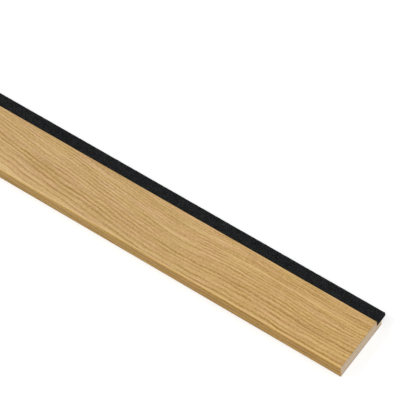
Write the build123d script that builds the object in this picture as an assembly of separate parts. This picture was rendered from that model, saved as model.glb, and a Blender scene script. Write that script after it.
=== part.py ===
"""End trim for a slatted acoustic wall panel.

A flat moulding of fibreboard, sold as one straight length. Real oak veneer is wrapped round its
front face, its top face and down the wall of a rebate that runs along the back edge. A strip of
black felt is glued on the lip of that rebate and stands out past it, to lap over the felt of the
panel beside it.

Frame: X runs along the length, +Y from the show edge towards the panel, +Z up from the wall face.
The origin is at the middle of the length and of the whole width, on the wall face.
Sizes are in millimetres.
"""

import os

from build123d import *

# Sizes of the board, veneer included
length = 2400.0
thickness = 12.0
face_width = 46.5  # from the front face to the rebate wall

# Sizes of the lip that the rebate leaves along the back edge
lip_thickness = 5.5
lip_reach = 5.5  # from the rebate wall to the back edge

# Radii of the core's two eased edges, under the wrap
core_front_arris = 1.4  # between the front and the top face
core_rebate_arris = 0.15  # between the top face and the rebate wall

# The wrap and the strip
veneer_thickness = 0.6
felt_width = 11.5  # from the rebate wall to the strip's free edge
felt_thickness = 2.5

# Places across the width and up the height
front_y = -(face_width + felt_width) / 2
rebate_wall_y = front_y + face_width
back_edge_y = rebate_wall_y + lip_reach
felt_free_y = rebate_wall_y + felt_width
core_front_y = front_y + veneer_thickness
core_top_z = thickness - veneer_thickness
core_wall_y = rebate_wall_y - veneer_thickness

# A wrap that is bent round an arris keeps its thickness, so its outside has the same centre.
front_arris = core_front_arris + veneer_thickness
rebate_arris = core_rebate_arris + veneer_thickness


def run_of_stock(section):
    """One straight length with the given section, which is drawn in Y and Z as its own X and Y."""
    section_plane = Plane(origin=(-length / 2, 0, 0), x_dir=(0, 1, 0), z_dir=(1, 0, 0))
    return extrude(section_plane * section, amount=length)


def eased_line(left, top, right, foot_z, left_radius, right_radius):
    """Up the front, over the top and down the rebate wall, with both arrises rounded."""
    corners = [(left, 0), (left, top), (right, top), (right, foot_z)]
    return FilletPolyline(*corners, radius=[left_radius, right_radius])


def core_section():
    """Fibreboard: a flat board with its rebate, and rounded under the veneer's two bends."""
    under_the_veneer = eased_line(
        core_front_y, core_top_z, core_wall_y, lip_thickness, core_front_arris, core_rebate_arris
    )
    lip = Polyline(
        under_the_veneer @ 1, (back_edge_y, lip_thickness), (back_edge_y, 0), under_the_veneer @ 0
    )
    return make_face(Curve() + [under_the_veneer, lip])


def veneer_section():
    """One leaf of veneer, of even thickness, bent round the two arrises and stopped on the lip."""
    outside = eased_line(
        front_y, thickness, rebate_wall_y, lip_thickness, front_arris, rebate_arris
    )
    inside = eased_line(
        core_front_y, core_top_z, core_wall_y, lip_thickness, core_front_arris, core_rebate_arris
    )
    trimmed_edges = [Line(outside @ 0, inside @ 0), Line(outside @ 1, inside @ 1)]
    return make_face(Curve() + [outside, inside, *trimmed_edges])


def felt_section():
    """A slit strip that butts against the rebate wall and lies on the lip, with its edge free."""
    middle = ((rebate_wall_y + felt_free_y) / 2, lip_thickness + felt_thickness / 2)
    return Pos(*middle) * Rectangle(felt_width, felt_thickness)


pieces = {
    "mdf_core": run_of_stock(core_section()),
    "oak_veneer": run_of_stock(veneer_section()),
    "felt_strip": run_of_stock(felt_section()),
}

os.makedirs("parts", exist_ok=True)
for name, piece in pieces.items():
    export_step(piece, f"parts/{name}.step")
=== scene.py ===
import math

import bmesh
import bpy
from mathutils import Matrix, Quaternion, Vector, noise


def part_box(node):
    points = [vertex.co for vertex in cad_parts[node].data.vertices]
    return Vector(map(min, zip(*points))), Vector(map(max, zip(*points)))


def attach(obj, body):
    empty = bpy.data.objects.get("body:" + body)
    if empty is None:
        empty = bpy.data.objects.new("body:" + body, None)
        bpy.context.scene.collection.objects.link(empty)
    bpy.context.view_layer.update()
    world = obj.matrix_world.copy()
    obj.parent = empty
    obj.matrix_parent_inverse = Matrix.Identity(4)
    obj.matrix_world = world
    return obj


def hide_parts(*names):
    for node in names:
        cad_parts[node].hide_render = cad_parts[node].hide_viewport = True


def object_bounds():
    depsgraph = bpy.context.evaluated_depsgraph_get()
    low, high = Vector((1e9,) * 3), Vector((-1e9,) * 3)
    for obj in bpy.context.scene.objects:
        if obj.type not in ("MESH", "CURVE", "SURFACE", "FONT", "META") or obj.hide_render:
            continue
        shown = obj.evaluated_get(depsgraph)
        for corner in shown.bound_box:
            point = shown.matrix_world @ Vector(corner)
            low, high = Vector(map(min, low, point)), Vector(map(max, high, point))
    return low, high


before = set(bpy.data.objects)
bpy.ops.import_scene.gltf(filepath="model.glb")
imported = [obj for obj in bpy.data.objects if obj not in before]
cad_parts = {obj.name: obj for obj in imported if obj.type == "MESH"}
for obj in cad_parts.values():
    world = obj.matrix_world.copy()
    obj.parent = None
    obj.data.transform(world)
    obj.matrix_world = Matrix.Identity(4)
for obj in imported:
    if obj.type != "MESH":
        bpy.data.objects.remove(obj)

cad_low, cad_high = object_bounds()

# The camera
# It looks down on the near end of the trim through a long lens, tipped a little to one side, and
# the trim runs out of the picture at the far left.
SENSOR_WIDTH = 36  # millimetres
LENS = 245.29  # millimetres
AZIMUTH = math.radians(42.71)
ELEVATION = math.radians(56.9)
ROLL = math.radians(-8.03)
CAMERA_DISTANCE = 2.1107
CAMERA_REACH = 100
LOOK_BEFORE_END = 0.16492
LOOK_BEHIND_FRONT = 0.06433

scene = bpy.context.scene
camera = bpy.data.objects.new("camera", bpy.data.cameras.new("camera"))
scene.collection.objects.link(camera)
scene.camera = camera
towards_camera = Vector((
    math.sin(AZIMUTH) * math.cos(ELEVATION),
    -math.cos(AZIMUTH) * math.cos(ELEVATION),
    math.sin(ELEVATION),
))
looked_at = Vector((cad_high.x - LOOK_BEFORE_END, cad_low.y + LOOK_BEHIND_FRONT, 0))
camera.data.sensor_width = SENSOR_WIDTH
camera.data.lens = LENS
camera.data.clip_end = CAMERA_REACH
camera.location = looked_at + towards_camera * CAMERA_DISTANCE
camera.rotation_mode = "QUATERNION"
level = (-towards_camera).to_track_quat("-Z", "Y")
camera.rotation_quaternion = level @ Quaternion((0, 0, 1), ROLL)

# The floor and the light
# A white sheet of studio paper, and an even white light from all round. One wide lamp stands high
# over the near end. A round soft box stands high in front, and draws a bright line on the arris.
AMBIENT = 0.47
WHITE = (1, 1, 1, 1)
PAPER = (0.65, 0.65, 0.65, 1)
PAPER_GLOW = 0.42  # so that the paper outside the shadow is pure white to the camera
FLOOR_SPAN = 40
FLOOR_GAP = 0.00005
OVERHEAD_WIDTH = math.radians(50)


class Value:
    """A socket of a material's node, whose maths is written as Python."""

    def __init__(self, finish, socket):
        self.finish = finish
        self.socket = socket

    def maths(self, operation, *others):
        operands = dict(enumerate((self, *others)))
        return self.finish.node("Math", {"operation": operation}, operands)

    def __add__(self, other):
        return self.maths("ADD", other)

    __radd__ = __add__

    def __sub__(self, other):
        return self.maths("SUBTRACT", other)

    def __rsub__(self, other):
        return -self + other

    def __neg__(self):
        return self * -1

    def __mul__(self, other):
        return self.maths("MULTIPLY", other)

    __rmul__ = __mul__

    def __truediv__(self, other):
        return self.maths("DIVIDE", other)

    def __pow__(self, other):
        return self.maths("POWER", other)

    def between(self, low, high):
        """From 0 at low to 1 at high, and no further, with soft ends."""
        sockets = {"Value": self, "From Min": low, "From Max": high}
        return self.finish.node("MapRange", {"interpolation_type": "SMOOTHSTEP"}, sockets)

    def line_at(self, middle, half_width):
        """1 at the middle of a line, falling softly towards 0 on both sides of it."""
        aside = (self - middle) / half_width
        return (aside * aside * -1).maths("EXPONENT")


class Finish:
    """A material, or the studio's light, that is built node by node."""

    def __init__(self, name, tree=None):
        self.material = None
        if tree is None:
            self.material = bpy.data.materials.new(name)
            self.material.use_nodes = True
            tree = self.material.node_tree
        self.tree = tree
        self.tree.nodes.clear()

    def node(self, kind, settings=None, sockets=None, output=0):
        """One node. Its settings come first, and then the values or links of its sockets."""
        made = self.tree.nodes.new("ShaderNode" + kind)
        for name, setting in (settings or {}).items():
            setattr(made, name, setting)
        for name, value in (sockets or {}).items():
            if isinstance(value, Value):
                self.tree.links.new(value.socket, made.inputs[name])
            else:
                made.inputs[name].default_value = value
        return Value(self, made.outputs[output])

    def object_place(self):
        """The x, y and z of the point on the object, in millimetres from the object's origin."""
        place = self.node("TexCoord", output="Object")
        return [
            self.node("SeparateXYZ", sockets={0: place}, output=axis) * 1000 for axis in range(3)
        ]

    def speckle(self, x, y, z, detail=2.0, roughness=0.5):
        """Noise from about 0 to 1 at a place given in multiples of its grain size."""
        place = self.node("CombineXYZ", sockets={0: x, 1: y, 2: z})
        sockets = {"Vector": place, "Scale": 1.0, "Detail": detail, "Roughness": roughness}
        return self.node("TexNoise", sockets=sockets)

    def mixed(self, factor, first, second, blend_type="MIX"):
        """A colour between two, by a factor from 0 to 1."""
        settings = {"data_type": "RGBA", "blend_type": blend_type}
        sockets = {"Factor": factor, 6: first, 7: second}
        return self.node("Mix", settings, sockets, output=2)

    def done(self, shader, target="OutputMaterial"):
        """Sends the shader to the tree's output."""
        end_node = self.tree.nodes.new("ShaderNode" + target)
        self.tree.links.new(shader.socket, end_node.inputs["Surface"])


def add_lamp(name, kind, towards_lamp, distance, energy, **settings):
    """A lamp that shines on the trim from the direction given."""
    lamp = bpy.data.objects.new(name, bpy.data.lights.new(name, kind))
    lamp.data.energy = energy
    for setting, value in settings.items():
        setattr(lamp.data, setting, value)
    lamp.location = Vector(towards_lamp).normalized() * distance
    lamp.rotation_mode = "QUATERNION"
    lamp.rotation_quaternion = Vector(towards_lamp).to_track_quat("Z", "Y")
    scene.collection.objects.link(lamp)


scene.view_settings.view_transform = "Standard"
scene.world = bpy.data.worlds.new("studio")
scene.world.use_nodes = True
studio = Finish("studio", scene.world.node_tree)
seen = studio.node("LightPath", output="Is Camera Ray")
mirrored = studio.node("LightPath", output="Is Glossy Ray")
through = studio.node("LightPath", output="Is Transmission Ray")
white_share = seen.maths("MAXIMUM", mirrored.maths("MAXIMUM", through))
brightness = AMBIENT + white_share * (1 - AMBIENT)
background = studio.node("Background", sockets={"Color": WHITE, "Strength": brightness})
studio.done(background, "OutputWorld")

paper = Finish("paper")
matt = paper.node("BsdfDiffuse", sockets={"Color": PAPER})
glow_strength = paper.node("LightPath", output="Is Camera Ray") * PAPER_GLOW
glow = paper.node("Emission", sockets={"Color": WHITE, "Strength": glow_strength})
paper.done(paper.node("AddShader", sockets={0: matt, 1: glow}))

sheet = bmesh.new()
bmesh.ops.create_grid(sheet, x_segments=1, y_segments=1, size=FLOOR_SPAN / 2)
bmesh.ops.translate(sheet, verts=sheet.verts, vec=(0, 0, -FLOOR_GAP))
floor = bpy.data.objects.new("floor", bpy.data.meshes.new("floor"))
sheet.to_mesh(floor.data)
sheet.free()
floor.data.materials.append(paper.material)
scene.collection.objects.link(floor)

add_lamp("overhead", "SUN", (0.48, -0.05, 0.88), 3, 1.45, angle=OVERHEAD_WIDTH)
add_lamp("front_box", "AREA", (-0.37, -0.44, 0.82), 3.2, 26, shape="DISK", size=0.9)

# The oak veneer
# One leaf of oak, 0.6 mm thick, glued round the board and lacquered. Its growth rings run along the
# trim in long slow bends, and the pattern unrolls over both arrises.
RINGS_PER_MM = 0.24  # near the front edge
RING_CROWDING = 0.0034  # and more of them to a millimetre towards the back
DRIFT_START, DRIFT_PERIOD, DRIFT_SIZE = 150, 560, 10  # of the rings' slow bends, in millimetres
WAVE_PERIOD, WAVE_SIZE = 140, 0.8  # of a slight wave on top of them
WAVE_PHASE = 2.92
OAK_LIGHT = (0.657, 0.450, 0.198, 1)
OAK_DARK = (0.337, 0.189, 0.043, 1)
OAK_PORE = (0.2, 0.1, 0.03, 1)
OAK_PALE = (0.78, 0.56, 0.30, 1)
OAK_ROSY = (1.03, 0.985, 1.12, 1)
OAK_WARM = (1.03, 1.0, 0.88, 1)
OAK_FRONT_SHADE = (0.98, 0.88, 0.51, 1)
PORE_DEPTH = 0.0001
veneer_low, veneer_high = (corner * 1000 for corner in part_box("oak_veneer"))

# Places are in millimetres: run from the near end, and across from the front arris, round the
# wrap. Each speckle takes a slice of the noise of its own, by the third number.
oak = Finish("oak_veneer")
x, y, z = oak.object_place()
run = veneer_high.x - x
side = y.maths("SIGN")
across = y - veneer_low.y + side * (veneer_high.z - z)

# The growth rings
drift_angle = (run - DRIFT_START).maths("MAXIMUM", 0) * (2 * math.pi / DRIFT_PERIOD)
drift = (1 - drift_angle.maths("COSINE")) * DRIFT_SIZE
wave = (run * (2 * math.pi / WAVE_PERIOD) - WAVE_PHASE).maths("SINE") * WAVE_SIZE
wander = (oak.speckle(run / 320, across / 70, 1.3, detail=0) - 0.5) * 5
ripple = (oak.speckle(run / 42, across / 16, 4.1, detail=2, roughness=0.5) - 0.5) * 3.5
wobble = (oak.speckle(run / 9, across / 5, 8.6, detail=2) - 0.5) * 1.8
ring_place = across - drift - wave + wander + ripple + wobble

unevenness = (oak.speckle(ring_place / 9, run / 500, 7.7, detail=1) - 0.5) * 0.9
ring_count = (RINGS_PER_MM + RING_CROWDING * ring_place) * ring_place + unevenness - 0.5
ring = ((ring_count * (2 * math.pi)).maths("COSINE") * 0.5 + 0.5) ** 1.6
ring_strength = oak.speckle(ring_place / 4, run / 24, 2.9, detail=3).between(0.3, 0.66)
back_part = across.between(24, 33) * (0.3 + 0.7 * run.between(230, 120))
near_front_edge = across.between(13, 5) * run.between(150, 260)
ring_mark = (ring - 0.41) * (0.25 + 0.75 * ring_strength)
ring_mark = ring_mark * (1 - 0.55 * back_part) * (1 - 0.3 * near_front_edge)

# The fine grain that follows the rings, and a few lines that stand out
streaks = oak.speckle(run / 45, ring_place / 1.2, 6.1, detail=2) - 0.5
fine_lines = oak.speckle(run / 20, ring_place / 0.6, 9.2, detail=3, roughness=0.6) - 0.5
back_lines = (oak.speckle(run / 30, ring_place / 0.85, 4.7, detail=1) - 0.5) * back_part
mottle = oak.speckle(run / 1.6, across / 1.2, 2.2, detail=2) - 0.5
pale_lines = oak.speckle(run / 90, ring_place / 1.2, 3.3, detail=1).between(0.58, 0.74)
pores = oak.speckle(run / 3.2, ring_place / 0.24, 5.5, detail=1).between(0.58, 0.72)
pores = pores * (0.3 + 0.7 * ring)
bold_line = ring_place.line_at(14.4, 0.6)
bold_line = bold_line * (0.5 * run.between(240, 160) + 0.5 * run.between(100, 30))
light_line = ring_place.line_at(33.6, 0.55) * run.between(170, 100)
edge_line = across.line_at(2.8, 0.5) * run.between(200, 140)

# The broad changes of tone, and a painted highlight along the front arris
tone = oak.speckle(run / 110, ring_place / 10, 8.4, detail=2) - 0.5
rosy = oak.speckle(run / 30, ring_place / 6, 5.9, detail=2).between(0.4, 0.65)
# painted highlight: the veneer is made paler in a thin band on the top, just behind the front arris
painted_arris_highlight = across.between(0.1, 0.7) * across.between(2.2, 1.2)

dark_share = (
    0.43
    + 0.66 * ring_mark
    + 0.75 * streaks
    + 0.85 * fine_lines
    + 1.0 * mottle
    + 0.4 * tone
    - 0.12 * near_front_edge
    - 0.42 * painted_arris_highlight
    + 0.5 * bold_line
    - 0.6 * light_line
    + 1.1 * back_lines
    + 0.22 * edge_line
)
oak_colour = oak.mixed(dark_share.maths("MAXIMUM", 0), OAK_LIGHT, OAK_DARK)
oak_colour = oak.mixed(pale_lines * 0.4, oak_colour, OAK_PALE)
oak_colour = oak.mixed(pores * 0.4, oak_colour, OAK_PORE)
oak_colour = oak.mixed(rosy, oak_colour, OAK_ROSY, "MULTIPLY")
oak_colour = oak.mixed(run.between(260, 20), oak_colour, OAK_WARM, "MULTIPLY")
# painted shade: the whole front face is multiplied darker and more saturated than the top
oak_colour = oak.mixed(across.between(0.4, -0.6), oak_colour, OAK_FRONT_SHADE, "MULTIPLY")

grain_height = 0.5 - 0.35 * pores - 0.1 * ring_mark + 0.1 * fine_lines
oak_bump = oak.node(
    "Bump", sockets={"Strength": 0.5, "Distance": PORE_DEPTH, "Height": grain_height}
)
oak_shader = oak.node(
    "BsdfPrincipled",
    sockets={
        "Base Color": oak_colour,
        "Roughness": 0.40 + 0.2 * pores + 0.06 * fine_lines,
        "Specular IOR Level": 0.3,
        "Normal": oak_bump,
    },
)
oak.done(oak_shader)
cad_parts["oak_veneer"].data.materials[0] = oak.material

# The fibreboard core
# Medium-density fibreboard, planed on its faces, milled at the rebate and sawn square at the ends,
# where its fibres show. Its two skins are pressed denser and greyer than the middle.
BOARD_MIDDLE = (0.694, 0.538, 0.373, 1)
BOARD_SKIN = (0.40, 0.35, 0.30, 1)
BOARD_FIBRE_DARK = (0.36, 0.26, 0.17, 1)
BOARD_FIBRE_PALE = (0.75, 0.66, 0.54, 1)
SKIN_INSIDE, SKIN_OUTSIDE = 1.8, 0.2  # millimetres under the face, where a skin fades and is full
FIBRE_DEPTH = 0.0001
core_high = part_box("mdf_core")[1] * 1000

board = Finish("fibreboard")
x, y, z = board.object_place()
wall_skin = z.between(SKIN_INSIDE, SKIN_OUTSIDE)
glued_skin = (core_high.z - z).between(SKIN_INSIDE, SKIN_OUTSIDE)
skin = wall_skin + glued_skin * 0.5
mottle = board.speckle(x / 3, y / 3, z / 0.9, detail=3)
bundles = board.speckle(x / 1.1, y / 1.1, z / 0.35, detail=2, roughness=0.6)
dark_fibres = board.speckle(x / 0.5, y / 0.5, z / 0.16, detail=2).between(0.56, 0.72)
pale_fibres = board.speckle(x / 0.6 + 40, y / 0.6, z / 0.2, detail=2).between(0.56, 0.72)
browner = 0.75 * skin + 0.7 * (mottle - 0.5) + 0.6 * (bundles - 0.5) + 0.06
board_colour = board.mixed(browner.maths("MAXIMUM", 0), BOARD_MIDDLE, BOARD_SKIN)
board_colour = board.mixed(dark_fibres * 0.45, board_colour, BOARD_FIBRE_DARK)
board_colour = board.mixed(pale_fibres * 0.6, board_colour, BOARD_FIBRE_PALE)
fibre_height = 0.5 + 0.3 * pale_fibres - 0.3 * dark_fibres + 0.4 * (bundles - 0.5)
board_bump = board.node(
    "Bump", sockets={"Strength": 0.5, "Distance": FIBRE_DEPTH, "Height": fibre_height}
)
board_shader = board.node(
    "BsdfPrincipled",
    sockets={
        "Base Color": board_colour,
        "Roughness": 0.85 + 0.1 * (mottle - 0.5),
        "Specular IOR Level": 0.3,
        "Normal": board_bump,
    },
)
board.done(board_shader)
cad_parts["mdf_core"].data.materials[0] = board.material

# The felt strip
# A strip slit from needled black polyester felt, 2.5 mm thick. Its inner half is glued on the lip
# and its outer half is free, with soft edges and a surface that is dimpled by the needles.
FELT_BLACK = (0.001, 0.0012, 0.0015, 1)
FELT_GREY = (0.035, 0.036, 0.038, 1)
FLUFF_HEIGHT = 0.0003
EDGE_SOFTNESS = 0.0003
CORNER_RADIUS = 0.0009
CORNER_STEPS = 4
CELL_ALONG = 0.002
CELLS_ACROSS = 10
FINE_DIMPLES = (700, 0.00012)  # to a metre, and how deep
BROAD_DIMPLES = (150, 0.00006)
felt_low, felt_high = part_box("felt_strip")
felt_size = felt_high - felt_low

felt_mesh = bmesh.new()
bmesh.ops.create_cube(felt_mesh, size=1)
bmesh.ops.scale(felt_mesh, verts=felt_mesh.verts, vec=felt_size)
bmesh.ops.translate(felt_mesh, verts=felt_mesh.verts, vec=(felt_low + felt_high) / 2)


def edges_along(axis):
    """The edges that lie along an axis, 0 for X, 1 for Y and 2 for Z."""
    found = []
    for edge in felt_mesh.edges:
        step = edge.verts[1].co - edge.verts[0].co
        if abs(step[axis]) > 0.9 * step.length:
            found.append(edge)
    return found


bmesh.ops.subdivide_edges(
    felt_mesh, edges=edges_along(1), cuts=CELLS_ACROSS - 1, use_grid_fill=True
)
bmesh.ops.subdivide_edges(felt_mesh, edges=edges_along(2), cuts=1, use_grid_fill=True)
long_corners = [e for e in edges_along(0) if e.calc_face_angle(0) > math.radians(60)]
bmesh.ops.bevel(
    felt_mesh, geom=long_corners, offset=EDGE_SOFTNESS, segments=3, profile=0.5,
    affect="EDGES", material=-1,
)
bmesh.ops.subdivide_edges(
    felt_mesh, edges=edges_along(0), cuts=round(felt_size.x / CELL_ALONG) - 1, use_grid_fill=True
)
for end, outwards in ((felt_low.x, -1), (felt_high.x, 1)):
    for step in range(1, CORNER_STEPS + 1):
        bmesh.ops.bisect_plane(
            felt_mesh,
            geom=felt_mesh.verts[:] + felt_mesh.edges[:] + felt_mesh.faces[:],
            plane_co=(end - outwards * CORNER_RADIUS * step / CORNER_STEPS, 0, 0),
            plane_no=(1, 0, 0),
        )


def dimple_at(place, per_metre, depth):
    """How far the needles have drawn the surface in at a place."""
    return abs(noise.noise(place * per_metre)) * depth


for vertex in felt_mesh.verts:
    place = vertex.co.copy()
    past_end = abs(place.x) - (felt_high.x - CORNER_RADIUS)
    past_side = place.y - (felt_high.y - CORNER_RADIUS)
    if past_end > 0 and past_side > 0:  # the square corner is drawn in to a quarter of a circle
        x_share, y_share = past_end / CORNER_RADIUS, past_side / CORNER_RADIUS
        place.x -= math.copysign(past_end * (1 - math.sqrt(1 - y_share**2 / 2)), place.x)
        place.y -= past_side * (1 - math.sqrt(1 - x_share**2 / 2))
    dimple = dimple_at(place, *FINE_DIMPLES) + dimple_at(place, *BROAD_DIMPLES)
    on_top = place.z > felt_high.z - EDGE_SOFTNESS
    on_free_edge = vertex.co.y > felt_high.y - EDGE_SOFTNESS
    vertex.co = place - dimple * Vector((0, on_free_edge, on_top))

# This map lays the strip out in rows, one under another, so that a square texture holds its fine
# speckle. A row holds the top, the underside and the two long edges, and the ends come after the
# last row.
MAP_NAME = "OFBake"
MAP_ROWS = 8
ROW_ROOM = 2.7  # times the strip's width
SIDE_STARTS = {(2, True): 0, (2, False): 1, (1, True): 2, (1, False): 2.3}  # in the same measure
SIDE_SPREAD = 1.04  # keeps neighbouring sides apart
END_ROOM = 0.3  # of a row
row_length = felt_size.x / MAP_ROWS
row_width = ROW_ROOM * felt_size.y
felt_mesh.normal_update()
bake_map = felt_mesh.loops.layers.uv.new(MAP_NAME)
for face in felt_mesh.faces:
    facing = max(range(3), key=lambda axis: abs(face.normal[axis]))
    faces_up = face.normal[facing] > 0
    row = int((face.calc_center_median().x - felt_low.x) / row_length)
    for loop in face.loops:
        place = loop.vert.co - felt_low
        if facing == 0:
            u = place.y
            v = (MAP_ROWS + END_ROOM * faces_up) * row_width + place.z
        else:
            side_start = SIDE_STARTS[facing, faces_up] * felt_size.y
            u = place.x - row * row_length
            v = row * row_width + SIDE_SPREAD * (side_start + place[3 - facing])
        loop[bake_map].uv = (u / row_length, v / ((MAP_ROWS + 2 * END_ROOM) * row_width))

felt_strip = bpy.data.objects.new("felt", bpy.data.meshes.new("felt"))
felt_mesh.to_mesh(felt_strip.data)
felt_mesh.free()
for face in felt_strip.data.polygons:
    face.use_smooth = True
scene.collection.objects.link(felt_strip)

felt = Finish("black_felt")
x, y, z = felt.object_place()
fluff = felt.speckle(x / 0.55, y / 0.55, z / 0.55, detail=3, roughness=0.6)
clumps = felt.speckle(x / 5, y / 5, z / 5, detail=1)
fibres_up = felt.speckle(x / 0.12, y / 0.7, z / 0.5, detail=2).between(0.58, 0.72)
grey_share = fluff.between(0.34, 0.72) * 0.85 + 0.3 * (clumps - 0.5) + 0.2 * fibres_up
felt_colour = felt.mixed(grey_share.maths("MAXIMUM", 0), FELT_BLACK, FELT_GREY)
fluff_height = fluff + 0.4 * fibres_up
felt_bump = felt.node(
    "Bump", sockets={"Strength": 0.8, "Distance": FLUFF_HEIGHT, "Height": fluff_height}
)
felt_shader = felt.node(
    "BsdfPrincipled",
    sockets={
        "Base Color": felt_colour,
        "Roughness": 0.95,
        "Specular IOR Level": 0.08,
        "Normal": felt_bump,
    },
)
felt.done(felt_shader)
felt_strip.data.materials.append(felt.material)
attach(felt_strip, "root")
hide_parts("felt_strip")
